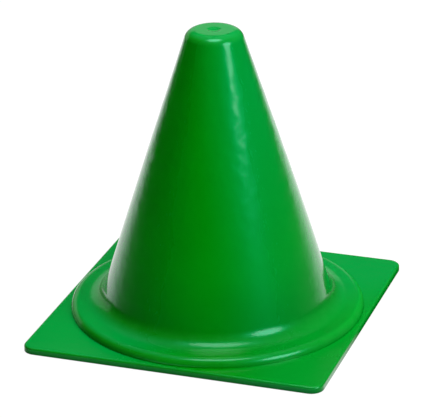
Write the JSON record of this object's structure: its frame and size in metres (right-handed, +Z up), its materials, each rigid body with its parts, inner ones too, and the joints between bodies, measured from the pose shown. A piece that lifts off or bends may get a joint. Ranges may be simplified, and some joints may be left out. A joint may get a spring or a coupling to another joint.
{
  "type": "sports marker cone",
  "caption": "Small sports marker cone: hollow tapered cone with a closed rounded top and a round foot flange, snapped into a square base plate; it stands free and stacks.",
  "frame": {"origin": "on the floor below the tip of the cone, at the centre of the plate's underside", "axes": "+Z up along the cone's axis, +X and +Y square to the plate's sides"},
  "size_m": [0.1554, 0.1554, 0.152],
  "materials": {
    "moulded_plastic": "satin green moulded plastic"
  },
  "bodies": {
    "root": {"cone_body": "moulded_plastic", "base_plate": "moulded_plastic"}
  },
  "joints": []
}
